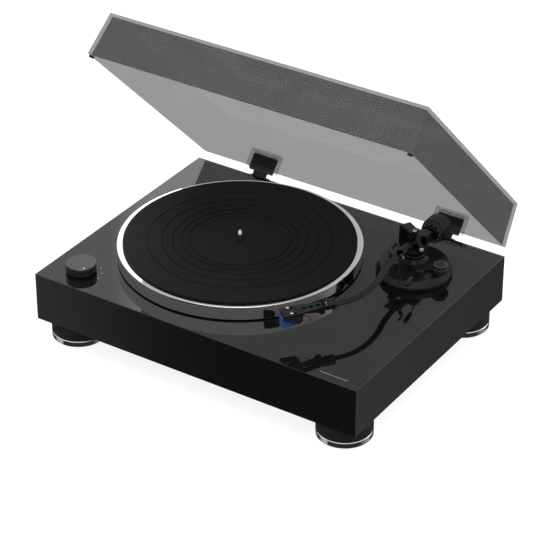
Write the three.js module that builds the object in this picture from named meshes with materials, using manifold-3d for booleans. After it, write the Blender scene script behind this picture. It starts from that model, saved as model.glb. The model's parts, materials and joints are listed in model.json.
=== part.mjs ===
// Record player with a hinged dust cover, a belt-driven platter and an S-shaped tonearm.
// Millimetres, +Z up. The deck group's origin is the middle of the plinth's top face.
import * as THREE from 'three';
import { mergeVertices } from 'three/addons/utils/BufferGeometryUtils.js';
import Module from 'manifold-3d';

const wasm = await Module();
wasm.setup();

// ---------- driving dimensions ----------
const GAP = 0.3;

const PLINTH_W = 450;
const PLINTH_D = 343.6;
const PLINTH_H = 62.9;
const PLINTH_WALL = 14;
const PLINTH_TOP = 15;
const COVER_T = 3;

const FOOT_INSET_X = 35.5;
const FOOT_INSET_Y = 35.6;
const FOOT_R = 33.5;
const FOOT_H = 28.3;
const FOOT_TRIM_H = 8;
const FOOT_TRIM_WALL = 2.5;
const FOOT_PAD_H = 1.1;
const FOOT_NECK_R = 30;
const FOOT_STUD_R = 4;

const PLATTER_X = -45;
const PLATTER_Y = 0;
const PLATTER_R = 148.8;
const PLATTER_TOP = 18.8;
const PLATTER_BOTTOM = 1.8;
const PLATTER_RIM = 10;
const PLATTER_WEB = 5;
const DRIVE_RIM_R = 108;
const DRIVE_RIM_WALL = 4;
const HUB_R = 14;
const MAT_R = 141.6;
const MAT_T = 3.1;
const LABEL_R = 53;
const SPINDLE_R = 3.6;
const SPINDLE_RISE = 12.6;
const SHAFT_DEPTH = 36;
const HOUSING_R = 12;

const PULLEY_R = 8;
const PULLEY_DIST = 122.5;
const PULLEY_TURN = 128;
const BELT_T = 0.8;
const BELT_GAP = 0.5;
const BELT_H = 4;
const BELT_Z = 8;
const MOTOR_R = 19;
const MOTOR_H = 24;

const KNOB_X = -182;
const KNOB_Y = -137;
const KNOB_R = 18.7;
const KNOB_H = 12;
const KNOB_SHAFT_R = 3;

const LID_W = 442.4;
const LID_D = 336.5;
const LID_H = 56;
const LID_WALL = 3.2;
const LID_TAPER_SIDE = 4.6;
const LID_TAPER_FRONT = 2;
const LID_TAPER_REAR = 5.9;
const LID_REAR_INSET = 3.6;
const LID_SEAT = 3;
const LID_OPEN = 45.4;
const HINGE_BEHIND = 6.4;
const HINGE_DROP = 8.9;
const HINGE_X = 136.6;
const POCKET_W = 43;
const POCKET_H = 24.3;
const POCKET_D = 12;
const POCKET_WALL = 2.4;
const BLOCK_W = 33.5;
const BLOCK_H = 20.6;
const NECK_W = 19;
const KNUCKLE_R = 5;
const PIN_R = 2;
const SOCKET_H = 40;

const BASE_X = 151.5;
const BASE_Y = 80;
const RING_R = 46;
const RING_TOP_R = 42.2;
const RING_BORE = 37.4;
const RING_FOOT_H = 4.2;
const RING_H = 12;
const BASE_TOP = 15;
const PAD_TOP = 18.3;
const RECESS_LEFT = -2.3;
const STEM_R = 14;
const STEM_DEPTH = 30;

const PIVOT_X = 146;
const PIVOT_Y = 88;
const ARM_Z = 37;
const OFFSET = 36;
const FLANGE_R = 13;
const FLANGE_TOP = 22.5;
const YOKE_TURN = 150;
const YOKE_INNER = 21.4;
const YOKE_T = 4.4;
const YOKE_W = 12;
const YOKE_TOP = 51.4;
const TOP_SCREW_TOP = 53;
const GIMBAL_X = 19.4;
const GIMBAL_T = 5;
const LOWER_BEARING = 10.4;

const TUBE_R = 4;
const SLEEVE_R = 5.2;
const SLEEVE_LEN = 33;
const REAR_X = 4;
const REAR_Z = -3.5;
const STUB_R = 4.4;
const STUB_LEN = 58;
const WEIGHT_R = 15.8;
const WEIGHT_LEN = 19;
const WEIGHT_START = 33.8;
const DIAL_R = 14.4;
const DIAL_LEN = 3.6;
const BUSH_R = 7.6;

const HEAD_X = 133.4;
const HEAD_Y = -92.2;
const HEAD_Z = 38.7;
const HEAD_TURN = 34;
const COLLAR_R = 6.4;
const COLLAR_LEN = 11.5;
const SHELL_LEN = 53;
const SHELL_REAR_W = 12.4;
const SHELL_FRONT_W = 19.4;
const SHELL_T = 2;
const SHELL_TOP = 2.4;
const STYLUS_DROP = 16;

const REST_Y = 41;
const DIAL_X = 187.5;
const DIAL_Y = 79.4;
const SKATE_R = 10.7;
const SKATE_H = 8.3;
const CUE_X = 170.5;
const CUE_Y = 61.5;
const CUE_Z = 16.8;
const CUE_ARC_X = 143.5;
const CUE_ARC_Y = 75.5;
const CUE_ARC_R = 19.8;
const CUE_ARC_W = 3.8;
const CUE_TOP = 31.2;
const CUE_TURN = 10;
const CUE_BOSS_W = 4.8;
const CUE_POST_R = 2;
const CUE_POST_TURN = 225;

// ---------- values worked out from the driving dimensions ----------
const rad = THREE.MathUtils.degToRad;
const FLOOR = PLINTH_H + FOOT_H;
const HINGE_Y = PLINTH_D / 2 + HINGE_BEHIND;
const LID_REAR = PLINTH_D / 2 - LID_REAR_INSET;
const MAT_Z = PLATTER_TOP + GAP;

// ---------- materials ----------
function finish(color, roughness, metalness = 0) {
  return new THREE.MeshStandardMaterial({ color, roughness, metalness });
}
const gloss = finish(0x0c0c0d, 0.08);
const satin = finish(0x16161a, 0.45);
const black = finish(0x1b1b1d, 0.6);
const rubber = finish(0x141414, 0.85);
const matFelt = finish(0x242424, 0.95);
const mirror = finish(0xd8d8dc, 0.08, 1);
const steel = finish(0xb8bac0, 0.25, 1);
const darkMetal = finish(0x2a2a2e, 0.35, 0.8);
const gold = finish(0xc9a35a, 0.3, 1);
const brass = finish(0xb08d48, 0.35, 1);
const board = finish(0x1d5c34, 0.6);
const clear = finish(0x9a9a9e, 0.05);
clear.transparent = true;
clear.opacity = 0.4;
const smoke = finish(0x55565a, 0.05);
smoke.transparent = true;
smoke.opacity = 0.5;
const blue = finish(0x2d62b0, 0.35);

// ---------- geometry helpers ----------
function signedVolume(geometry) {
  const position = geometry.attributes.position;
  const index = geometry.index;
  const a = new THREE.Vector3();
  const b = new THREE.Vector3();
  const c = new THREE.Vector3();
  let total = 0;
  for (let i = 0; i < index.count; i += 3) {
    a.fromBufferAttribute(position, index.getX(i));
    b.fromBufferAttribute(position, index.getX(i + 1));
    c.fromBufferAttribute(position, index.getX(i + 2));
    total += a.dot(b.cross(c));
  }
  return total / 6;
}

// Merges the vertices, drops the empty triangles at a pole and turns the faces outward.
function closed(geometry) {
  const bare = geometry.clone();
  bare.deleteAttribute('normal');
  bare.deleteAttribute('uv');
  const merged = mergeVertices(bare, 1e-4);
  const kept = [];
  for (let i = 0; i < merged.index.count; i += 3) {
    const corner = [0, 1, 2].map((k) => merged.index.getX(i + k));
    if (new Set(corner).size === 3) kept.push(...corner);
  }
  merged.setIndex(kept);
  if (signedVolume(merged) < 0) merged.setIndex(kept.reverse());
  return merged;
}

function solid(geometry) {
  const shape = closed(geometry);
  const vertProperties = new Float32Array(shape.attributes.position.array);
  const triVerts = new Uint32Array(shape.index.array);
  return new wasm.Manifold(new wasm.Mesh({ numProp: 3, vertProperties, triVerts }));
}

function surface(manifold) {
  const mesh = manifold.getMesh();
  const geometry = new THREE.BufferGeometry();
  geometry.setAttribute('position', new THREE.BufferAttribute(mesh.vertProperties, 3));
  geometry.setIndex(new THREE.BufferAttribute(mesh.triVerts, 1));
  geometry.computeVertexNormals();
  return geometry;
}

function join(...pieces) {
  return surface(pieces.map(solid).reduce((sum, piece) => sum.add(piece)));
}

function cut(base, ...tools) {
  return surface(tools.map(solid).reduce((rest, tool) => rest.subtract(tool), solid(base)));
}

function box(w, d, h, x = 0, y = 0, z = 0) {
  return new THREE.BoxGeometry(w, d, h).translate(x, y, z);
}

// A box given by its low and high corner.
function span(low, high) {
  const size = high.map((value, i) => value - low[i]);
  const middle = high.map((value, i) => (value + low[i]) / 2);
  return box(...size, ...middle);
}

function rod(radius, low, high, sides = 24) {
  return new THREE.CylinderGeometry(radius, radius, high - low, sides)
    .rotateX(Math.PI / 2)
    .translate(0, 0, (low + high) / 2);
}

function rodX(radius, low, high, sides = 20) {
  return rod(radius, low, high, sides).rotateY(Math.PI / 2);
}

function rodY(radius, low, high, sides = 24) {
  return rod(radius, -high, -low, sides).rotateX(Math.PI / 2);
}

// Revolves a closed list of [radius, height] corners about Z.
function turned(corners, sides = 48) {
  const points = corners.map(([r, z]) => new THREE.Vector2(r, z));
  const open = corners[0][0] > 0 || corners.at(-1)[0] > 0;
  if (open) points.push(points[0].clone());
  return closed(new THREE.LatheGeometry(points, sides).rotateX(Math.PI / 2));
}

function outline(corners) {
  return new THREE.Shape(corners.map(([x, y]) => new THREE.Vector2(x, y)));
}

function prism(shape, depth, curveSegments = 16) {
  return new THREE.ExtrudeGeometry(shape, { depth, bevelEnabled: false, curveSegments });
}

// Stands an outline drawn in Y and Z upright, and gives it a width along X.
function upright(shape, width, curveSegments = 8) {
  return prism(shape, width, curveSegments)
    .translate(0, 0, -width / 2)
    .rotateX(Math.PI / 2)
    .rotateZ(Math.PI / 2);
}

function sweep(curve, radius, steps, sides = 12) {
  const ring = new THREE.Shape();
  ring.absarc(0, 0, radius, 0, Math.PI * 2);
  const section = outline(ring.getPoints(sides).slice(0, sides).map((p) => [p.x, p.y]));
  return new THREE.ExtrudeGeometry(section, { steps, extrudePath: curve, bevelEnabled: false });
}

function slotShape(length, width, x, y) {
  const shape = new THREE.Shape();
  const half = length / 2 - width / 2;
  shape.absarc(x, y + half, width / 2, 0, Math.PI);
  shape.absarc(x, y - half, width / 2, Math.PI, Math.PI * 2);
  return shape;
}

function add(group, name, geometry, material, place = [0, 0, 0]) {
  const mesh = new THREE.Mesh(geometry, material);
  mesh.name = name;
  mesh.position.set(...place);
  group.add(mesh);
  return mesh;
}

function turnedGroup(parent, place, turnZ = 0) {
  const group = new THREE.Group();
  group.position.set(...place);
  group.rotation.z = rad(turnZ);
  parent.add(group);
  return group;
}

// ---------- plinth, cover and feet ----------
const MOTOR_X = PLATTER_X + PULLEY_DIST * Math.cos(rad(PULLEY_TURN));
const MOTOR_Y = PLATTER_Y + PULLEY_DIST * Math.sin(rad(PULLEY_TURN));
const PANEL_X = -20;
const PANEL_W = 120;
const PANEL_H = 34;
const PANEL_Z = -34;
const PANEL_T = 3;
const SCREW_GAP = 0.6;

function footPlaces() {
  const x = PLINTH_W / 2 - FOOT_INSET_X;
  const y = PLINTH_D / 2 - FOOT_INSET_Y;
  return [
    ['front_left', -x, -y],
    ['front_right', x, -y],
    ['rear_left', -x, y],
    ['rear_right', x, y],
  ];
}

function buildPlinth(deck) {
  const shell = box(PLINTH_W, PLINTH_D, PLINTH_H, 0, 0, -PLINTH_H / 2);
  const hollowH = PLINTH_H - PLINTH_TOP + 1;
  const hollow = box(
    PLINTH_W - 2 * PLINTH_WALL,
    PLINTH_D - 2 * PLINTH_WALL,
    hollowH,
    0,
    0,
    -PLINTH_TOP - hollowH / 2,
  );
  const through = (radius, x, y) => rod(radius, -PLINTH_TOP - 1, 1, 20).translate(x, y, 0);
  const panelHole = box(PANEL_W, PLINTH_WALL * 2, PANEL_H, PANEL_X, PLINTH_D / 2, PANEL_Z);
  add(deck, 'plinth', cut(
    shell,
    hollow,
    panelHole,
    through(HOUSING_R + GAP, PLATTER_X, PLATTER_Y),
    through(PULLEY_R + 2, MOTOR_X, MOTOR_Y),
    through(KNOB_SHAFT_R + SCREW_GAP, KNOB_X, KNOB_Y),
    through(STEM_R + GAP, BASE_X, BASE_Y),
  ), gloss);

  const coverW = PLINTH_W - 2 * PLINTH_WALL - 2 * GAP;
  const coverD = PLINTH_D - 2 * PLINTH_WALL - 2 * GAP;
  const sheet = box(coverW, coverD, COVER_T, 0, 0, -PLINTH_H + COVER_T / 2);
  const vents = [];
  for (let i = -3; i <= 3; i += 1) {
    vents.push(box(4, 60, COVER_T * 3, i * 12, 60, -PLINTH_H + COVER_T / 2));
  }
  const studHoles = footPlaces().map(([, x, y]) => (
    rod(FOOT_STUD_R + GAP, -PLINTH_H - 1, -PLINTH_H + COVER_T + 1, 16).translate(x, y, 0)
  ));
  add(deck, 'bottom_cover', cut(sheet, ...vents, ...studHoles), black);
}

function buildFeet(deck) {
  const skirt = FOOT_R - FOOT_TRIM_WALL - GAP;
  const trimLow = FOOT_PAD_H;
  const trimHigh = FOOT_PAD_H + FOOT_TRIM_H;
  const body = turned([
    [0, 0],
    [skirt, 0],
    [skirt, trimHigh + GAP],
    [FOOT_R, trimHigh + GAP],
    [FOOT_R, FOOT_H - 6],
    [FOOT_NECK_R, FOOT_H - 3],
    [FOOT_NECK_R, FOOT_H - GAP],
    [FOOT_STUD_R, FOOT_H - GAP],
    [FOOT_STUD_R, FOOT_H + COVER_T + 6],
    [0, FOOT_H + COVER_T + 6],
  ], 24);
  const trim = turned([
    [skirt + GAP, trimLow],
    [FOOT_R, trimLow],
    [FOOT_R, trimHigh],
    [skirt + GAP, trimHigh],
  ], 24);
  for (const [name, x, y] of footPlaces()) {
    const place = [x, y, -FLOOR];
    add(deck, `foot_body_${name}`, body.clone(), rubber, place);
    add(deck, `foot_trim_${name}`, trim.clone(), mirror, place);
  }
}

// ---------- rear terminals ----------
const JACK_R = 4.3;
const JACK_PITCH = 16;
const POST_R = 1.8;

function buildTerminals(deck) {
  const rear = PLINTH_D / 2;
  const face = rear - 3;
  const plate = box(PANEL_W - 2 * GAP, PANEL_T, PANEL_H - 2 * GAP, PANEL_X, face - PANEL_T / 2, PANEL_Z);
  const jackX = PANEL_X - 30;
  const barrel = (x) => rodY(JACK_R, face - 1, rear + 6, 20).translate(x, 0, PANEL_Z);
  const bore = (x) => rodY(1.6, face, rear + 7, 10).translate(x, 0, PANEL_Z);
  const postX = PANEL_X + 8;
  const post = rodY(POST_R, face - 1, rear + 9, 14).translate(postX, 0, PANEL_Z);
  const inletX = PANEL_X + 40;
  const inletHole = box(13, 20, 13, inletX, face, PANEL_Z);
  const jacks = [jackX, jackX + JACK_PITCH];
  add(deck, 'jack_panel', cut(
    join(plate, post, ...jacks.map(barrel)),
    ...jacks.map(bore),
    inletHole,
  ), black);

  const nut = cut(
    rodY(5, face + 1, face + 8, 16).translate(postX, 0, PANEL_Z),
    rodY(POST_R + GAP, face, face + 9, 14).translate(postX, 0, PANEL_Z),
  );
  add(deck, 'ground_nut', nut, gold);

  const body = span([inletX - 6.2, face - 14, PANEL_Z - 6.2], [inletX + 6.2, face + 1, PANEL_Z + 6.2]);
  const socket = cut(
    rodY(2.8, face - 8, face + 2, 16).translate(inletX, 0, PANEL_Z),
    rodY(1, face - 9, face + 3, 10).translate(inletX, 0, PANEL_Z),
  );
  add(deck, 'power_inlet', cut(body, socket), black);

  const low = -PLINTH_H + COVER_T + 4;
  const boardY = PLINTH_D / 2 - PLINTH_WALL - 52;
  const parts = [
    box(110, 60, 1.6, PANEL_X, boardY, low),
    box(24, 20, 14, PANEL_X - 30, boardY, low + 7.5),
    rod(5, low, low + 16, 16).translate(PANEL_X + 10, boardY + 8, 0),
    rod(5, low, low + 16, 16).translate(PANEL_X + 24, boardY + 8, 0),
    box(10, 10, 4, PANEL_X + 30, boardY - 14, low + 2.4),
  ];
  add(deck, 'main_board', join(...parts), board);
}

// ---------- platter, spindle, belt and motor ----------
function buildPlatter(deck) {
  const place = [PLATTER_X, PLATTER_Y, 0];
  const webLow = PLATTER_TOP - PLATTER_WEB;
  const rimIn = PLATTER_R - PLATTER_RIM;
  const driveIn = DRIVE_RIM_R - DRIVE_RIM_WALL;
  const seat = webLow - 6;
  add(deck, 'platter', turned([
    [SPINDLE_R + GAP, PLATTER_TOP],
    [SPINDLE_R + GAP, seat],
    [HUB_R, seat],
    [HUB_R, webLow],
    [driveIn, webLow],
    [driveIn, PLATTER_BOTTOM + 1],
    [DRIVE_RIM_R, PLATTER_BOTTOM + 1],
    [DRIVE_RIM_R, webLow],
    [rimIn, webLow],
    [rimIn, PLATTER_BOTTOM],
    [PLATTER_R, PLATTER_BOTTOM],
    [PLATTER_R, PLATTER_TOP - 0.8],
    [PLATTER_R - 0.8, PLATTER_TOP],
  ], 48), mirror, place);

  add(deck, 'platter_mat', turned([
    [SPINDLE_R + 2 * GAP, MAT_Z],
    [MAT_R, MAT_Z],
    [MAT_R, MAT_Z + MAT_T],
    [LABEL_R, MAT_Z + MAT_T],
    [LABEL_R, MAT_Z + MAT_T - 0.5],
    [SPINDLE_R + 2 * GAP, MAT_Z + MAT_T - 0.5],
  ], 48), matFelt, place);

  const tip = MAT_Z + MAT_T + SPINDLE_RISE;
  add(deck, 'spindle', turned([
    [0, -SHAFT_DEPTH],
    [SPINDLE_R, -SHAFT_DEPTH + 2],
    [SPINDLE_R, 2.6],
    [HUB_R - 2, 2.6],
    [HUB_R - 2, seat - GAP],
    [SPINDLE_R, seat - GAP],
    [SPINDLE_R, tip - 6],
    [SPINDLE_R * 0.8, tip - 2.6],
    [1, tip - 0.4],
    [0, tip],
  ], 20), steel, place);

  const bore = SPINDLE_R + GAP;
  add(deck, 'bearing_housing', turned([
    [0, -SHAFT_DEPTH - 4],
    [HOUSING_R - 3, -SHAFT_DEPTH - 4],
    [HOUSING_R - 3, -PLINTH_TOP - 4],
    [HOUSING_R + 8, -PLINTH_TOP - 4],
    [HOUSING_R + 8, -PLINTH_TOP - GAP],
    [HOUSING_R, -PLINTH_TOP - GAP],
    [HOUSING_R, 2],
    [bore, 2],
    [bore, -SHAFT_DEPTH - GAP],
    [0, -SHAFT_DEPTH - GAP],
  ], 20), brass, place);
}

// One closed loop around the drive rim and the pulley, at a distance off each.
function loopOutline(off) {
  const big = DRIVE_RIM_R + off;
  const small = PULLEY_R + off;
  const lean = Math.acos((big - small) / PULLEY_DIST);
  const shape = new THREE.Shape();
  shape.absarc(0, 0, big, lean, Math.PI * 2 - lean);
  shape.absarc(PULLEY_DIST, 0, small, -lean, lean);
  return shape;
}

function buildDrive(deck) {
  const drive = turnedGroup(deck, [PLATTER_X, PLATTER_Y, 0], PULLEY_TURN);
  const loop = loopOutline(BELT_GAP + BELT_T);
  const points = loopOutline(BELT_GAP).getPoints(24);
  loop.holes.push(new THREE.Path(points.reverse()));
  add(drive, 'drive_belt', prism(loop, BELT_H, 24).translate(0, 0, BELT_Z - BELT_H / 2), rubber);

  const motor = turnedGroup(deck, [MOTOR_X, MOTOR_Y, 0]);
  const plateZ = -PLINTH_TOP - GAP;
  add(motor, 'motor_body', turned([
    [0, plateZ - MOTOR_H],
    [MOTOR_R, plateZ - MOTOR_H],
    [MOTOR_R, plateZ],
    [5, plateZ],
    [5, plateZ + 3],
    [1.6, plateZ + 3],
    [1.6, plateZ - MOTOR_H + 6],
    [0, plateZ - MOTOR_H + 6],
  ], 20), darkMetal);
  add(motor, 'motor_pulley', turned([
    [0, plateZ - MOTOR_H + 6.5],
    [1.3, plateZ - MOTOR_H + 6.5],
    [1.3, plateZ + 4],
    [PULLEY_R, plateZ + 4],
    [PULLEY_R, 5],
    [PULLEY_R, BELT_Z + 3],
    [0, BELT_Z + 3],
  ], 20), brass);
}

// ---------- speed knob ----------
function buildKnob(deck) {
  const place = [KNOB_X, KNOB_Y, 0];
  const cap = turned([
    [0, 1],
    [KNOB_R, 1],
    [KNOB_R, KNOB_H],
    [KNOB_R - 1, KNOB_H + 1],
    [0, KNOB_H + 1],
  ], 32);
  const shaft = rod(KNOB_SHAFT_R, -PLINTH_TOP - 8, 2, 16);
  const dot = rod(1.1, KNOB_H + 0.5, KNOB_H + 2, 10).translate(11, -9, 0);
  add(deck, 'speed_knob', cut(join(cap, shaft), dot), black, place);

  const top = -PLINTH_TOP - GAP;
  const body = box(26, 26, 14, 0, 0, top - 7);
  const bore = rod(KNOB_SHAFT_R + GAP, top - 9, top + 1, 16);
  add(deck, 'selector_switch', cut(body, bore), black, place);
}

// ---------- dust cover and hinges ----------
// A box whose top is drawn in on each side; front and rear are along Y.
function taperedBox(w, low, high, rise, inSide, inFront, inRear) {
  const geometry = span([-w / 2, low, 0], [w / 2, high, rise]);
  const position = geometry.attributes.position;
  for (let i = 0; i < position.count; i += 1) {
    if (position.getZ(i) > rise / 2) {
      position.setX(i, position.getX(i) - Math.sign(position.getX(i)) * inSide);
      position.setY(i, position.getY(i) < (low + high) / 2 ? low + inFront : high - inRear);
    }
  }
  return geometry;
}

function buildLid(swing) {
  const rear = LID_REAR - HINGE_Y;
  const front = rear - LID_D;
  const seat = LID_SEAT + HINGE_DROP;
  const outer = taperedBox(LID_W, front, rear, LID_H, LID_TAPER_SIDE, LID_TAPER_FRONT, LID_TAPER_REAR);
  const inner = taperedBox(
    LID_W - 2 * LID_WALL,
    front + LID_WALL,
    rear - LID_WALL,
    LID_H,
    LID_TAPER_SIDE,
    LID_TAPER_FRONT,
    LID_TAPER_REAR,
  ).translate(0, 0, -LID_WALL);
  add(swing, 'lid', cut(outer, inner), smoke, [0, 0, seat]);

  const bumper = turned([[0, 0], [3.4, 0], [3.4, LID_SEAT - 3 * GAP], [0, LID_SEAT - 3 * GAP]], 16);
  for (const [name, side] of [['left', -1], ['right', 1]]) {
    const place = [side * (LID_W / 2 - 4.4), front + 4.4, HINGE_DROP + 2 * GAP];
    add(swing, `lid_bumper_${name}`, bumper.clone(), rubber, place);
  }
}

// The clear pocket stands behind the rear wall; the leaf's plug sits in it, and a neck drops
// from the plug to the knuckle behind the plinth.
function buildLidHinge(swing, name, x) {
  const seat = LID_SEAT + HINGE_DROP;
  const lean = LID_TAPER_REAR / LID_H;
  const near = LID_REAR - HINGE_Y + GAP;
  const slab = (inset, low, high, width) => {
    const side = (y, z) => [y - lean * Math.max(z - seat, 0), z];
    return upright(outline([
      side(near + inset, low),
      side(near + POCKET_D - inset, low),
      side(near + POCKET_D - inset, high),
      side(near + inset, high),
    ]), width);
  };
  const top = seat + POCKET_H;
  const outer = slab(0, seat + GAP, top, POCKET_W);
  const room = slab(POCKET_WALL, seat - 1, top - POCKET_WALL, BLOCK_W + 2 * GAP);
  add(swing, `hinge_pocket_${name}`, cut(outer, room), clear, [x, 0, 0]);

  const low = HINGE_DROP + 2 * GAP;
  const block = slab(POCKET_WALL + GAP, low, low + BLOCK_H, BLOCK_W);
  const neck = span([-NECK_W / 2, -KNUCKLE_R, 0], [NECK_W / 2, -1, low + 1]);
  const knuckle = rodX(KNUCKLE_R, -NECK_W / 2, NECK_W / 2);
  const bore = rodX(PIN_R + GAP, -NECK_W, NECK_W, 14);
  add(swing, `hinge_leaf_${name}`, cut(join(block, neck, knuckle), bore), black, [x, 0, 0]);
}

function buildHingeSocket(deck, name, x) {
  const face = PLINTH_D / 2 + GAP - HINGE_Y;
  const half = NECK_W / 2 + 0.5;
  const ear = 4;
  const bodyTop = -KNUCKLE_R - 1.6;
  const back = KNUCKLE_R - 0.6;
  const body = span([-half - ear, face, -SOCKET_H], [half + ear, back, bodyTop]);
  const ears = [-1, 1].flatMap((side) => {
    const low = side < 0 ? -half - ear : half;
    return [
      rodX(KNUCKLE_R - 0.4, low, low + ear, 14),
      span([low, face, bodyTop - 1], [low + ear, back, 0]),
    ];
  });
  const pin = rodX(PIN_R, -half - ear - 0.8, half + ear + 0.8, 12);
  add(deck, `hinge_socket_${name}`, join(body, ...ears, pin), black, [x, HINGE_Y, -HINGE_DROP]);
}

// ---------- tonearm base ----------
function heightRing() {
  return turned([
    [RING_BORE, 2 * GAP],
    [RING_R, 2 * GAP],
    [RING_R, RING_FOOT_H],
    [RING_TOP_R, RING_H],
    [RING_BORE, RING_H],
  ], 40);
}

// Two ears with a pin carry the cueing lever.
function cueEars() {
  const half = CUE_BOSS_W / 2 + GAP;
  const width = 1.6;
  const turn = rad(CUE_TURN);
  const set = (geometry) => geometry.rotateZ(turn).translate(CUE_X - BASE_X, CUE_Y - BASE_Y, 0);
  const ears = [-half - width, half].flatMap((low) => [
    span([low, -2.4, RING_H - 1], [low + width, 2.4, CUE_Z]),
    rodX(2.4, low, low + width, 16).translate(0, 0, CUE_Z),
  ]);
  const pin = rodX(0.8, -half - 0.4, half + 0.4, 10).translate(0, 0, CUE_Z);
  return [...ears, pin].map(set);
}

function cuePost() {
  const turn = rad(CUE_POST_TURN);
  return [CUE_ARC_X + CUE_ARC_R * Math.cos(turn), CUE_ARC_Y + CUE_ARC_R * Math.sin(turn)];
}

function buildArmBase(deck) {
  const place = [BASE_X, BASE_Y, 0];
  add(deck, 'height_ring', heightRing(), satin, place);
  const edge = RING_BORE - GAP;
  const floor = RING_H + GAP;
  const plate = turned([
    [0, -STEM_DEPTH],
    [STEM_R - GAP, -STEM_DEPTH],
    [STEM_R - GAP, 2],
    [edge, 2],
    [edge, floor],
    [RING_TOP_R - 0.6, floor],
    [RING_TOP_R - 0.6, BASE_TOP - 0.6],
    [RING_TOP_R - 1.2, BASE_TOP],
    [0, BASE_TOP],
  ], 40);
  const mound = turned([
    [0, BASE_TOP - 1],
    [FLANGE_R + 5, BASE_TOP - 1],
    [FLANGE_R + 5, BASE_TOP],
    [FLANGE_R + 0.6, PAD_TOP],
    [0, PAD_TOP],
  ], 28).translate(PIVOT_X - BASE_X, PIVOT_Y - BASE_Y, 0);
  const recess = prism(outline([
    [RECESS_LEFT, -50],
    [50, -50],
    [50, -14],
    [33, -9.5],
    [25, -5],
    [18, -13],
    [8, -15],
    [0, -9],
    [RECESS_LEFT, -11],
  ]), 6).translate(0, 0, floor);
  const wire = rod(5, -STEM_DEPTH - 1, RING_H - 3, 12);
  const well = rod(CUE_POST_R + GAP, BASE_TOP - 12, BASE_TOP + 1, 14);
  const [wellX, wellY] = cuePost();
  add(deck, 'arm_base', cut(
    join(cut(join(plate, mound), recess), ...cueEars()),
    wire,
    well.translate(wellX - BASE_X, wellY - BASE_Y, 0),
  ), satin, place);

  const dial = turned([
    [0, 0],
    [SKATE_R, 0],
    [SKATE_R, 4],
    [SKATE_R - 2, 4.6],
    [SKATE_R - 2, SKATE_H - 0.6],
    [SKATE_R - 2.6, SKATE_H],
    [0, SKATE_H],
  ], 24);
  add(deck, 'anti_skate_dial', dial, satin, [DIAL_X, DIAL_Y, BASE_TOP + GAP]);
}

// Fixed turret: a round flange, a foot to one side, a leg and an arch to the top bearing.
function buildTurret(deck) {
  const turret = turnedGroup(deck, [PIVOT_X, PIVOT_Y, 0], YOKE_TURN);
  const low = PAD_TOP + GAP;
  const flange = turned([
    [0, low],
    [FLANGE_R, low],
    [FLANGE_R, FLANGE_TOP - 1.2],
    [FLANGE_R - 1.2, FLANGE_TOP],
    [6, FLANGE_TOP],
    [5, ARM_Z - LOWER_BEARING],
    [1.3 + GAP, ARM_Z - LOWER_BEARING],
    [1.3 + GAP, ARM_Z - LOWER_BEARING - 5],
    [0, ARM_Z - LOWER_BEARING - 5],
  ], 28);
  const outer = YOKE_INNER + YOKE_T;
  const arch = new THREE.Shape();
  arch.moveTo(outer - 3, low);
  arch.lineTo(outer + 1.4, low + 4);
  arch.lineTo(outer, YOKE_TOP - 7);
  arch.absarc(outer - 7, YOKE_TOP - 7, 7, 0, Math.PI / 2);
  arch.lineTo(0, YOKE_TOP - 0.6);
  arch.lineTo(0, YOKE_TOP - 3.4);
  arch.lineTo(YOKE_INNER - 4, YOKE_TOP - YOKE_T);
  arch.absarc(YOKE_INNER - 4, YOKE_TOP - YOKE_T - 4, 4, Math.PI / 2, 0, true);
  arch.lineTo(YOKE_INNER, low + 5);
  arch.lineTo(YOKE_INNER - 4, low + 3);
  arch.lineTo(8, low + 3);
  arch.lineTo(8, low);
  const bridge = upright(arch, YOKE_W, 6).rotateZ(-Math.PI / 2);
  const boss = rod(3.9, ARM_Z + 9.4, YOKE_TOP, 20);
  const seat = rod(3.1, YOKE_TOP - 2, YOKE_TOP + 1, 16);
  const pinHole = rod(1.2, ARM_Z, YOKE_TOP + 1, 12);
  add(turret, 'bearing_turret', cut(join(flange, bridge, boss), seat, pinHole), satin);

  const screw = turned([
    [0, ARM_Z + 8.9],
    [0.9, ARM_Z + 8.9],
    [0.9, YOKE_TOP - 1.6],
    [2.8, YOKE_TOP - 1.6],
    [2.8, TOP_SCREW_TOP - 0.8],
    [2.2, TOP_SCREW_TOP],
    [0, TOP_SCREW_TOP],
  ], 20);
  const slot = box(7, 0.9, 1.6, 0, 0, TOP_SCREW_TOP);
  add(turret, 'top_bearing_screw', cut(screw, slot), gold);
}

// ---------- arm rest, latch and cueing ----------
const REST_DEPTH = 7;
const LATCH_X = 7.6;
const LATCH_Z = -11;
const LATCH_W = 4.4;
const LATCH_PIN_R = 1.1;
const LATCH_INNER = 5;
const LATCH_T = 2.2;
const LATCH_OPEN = 30;

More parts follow.
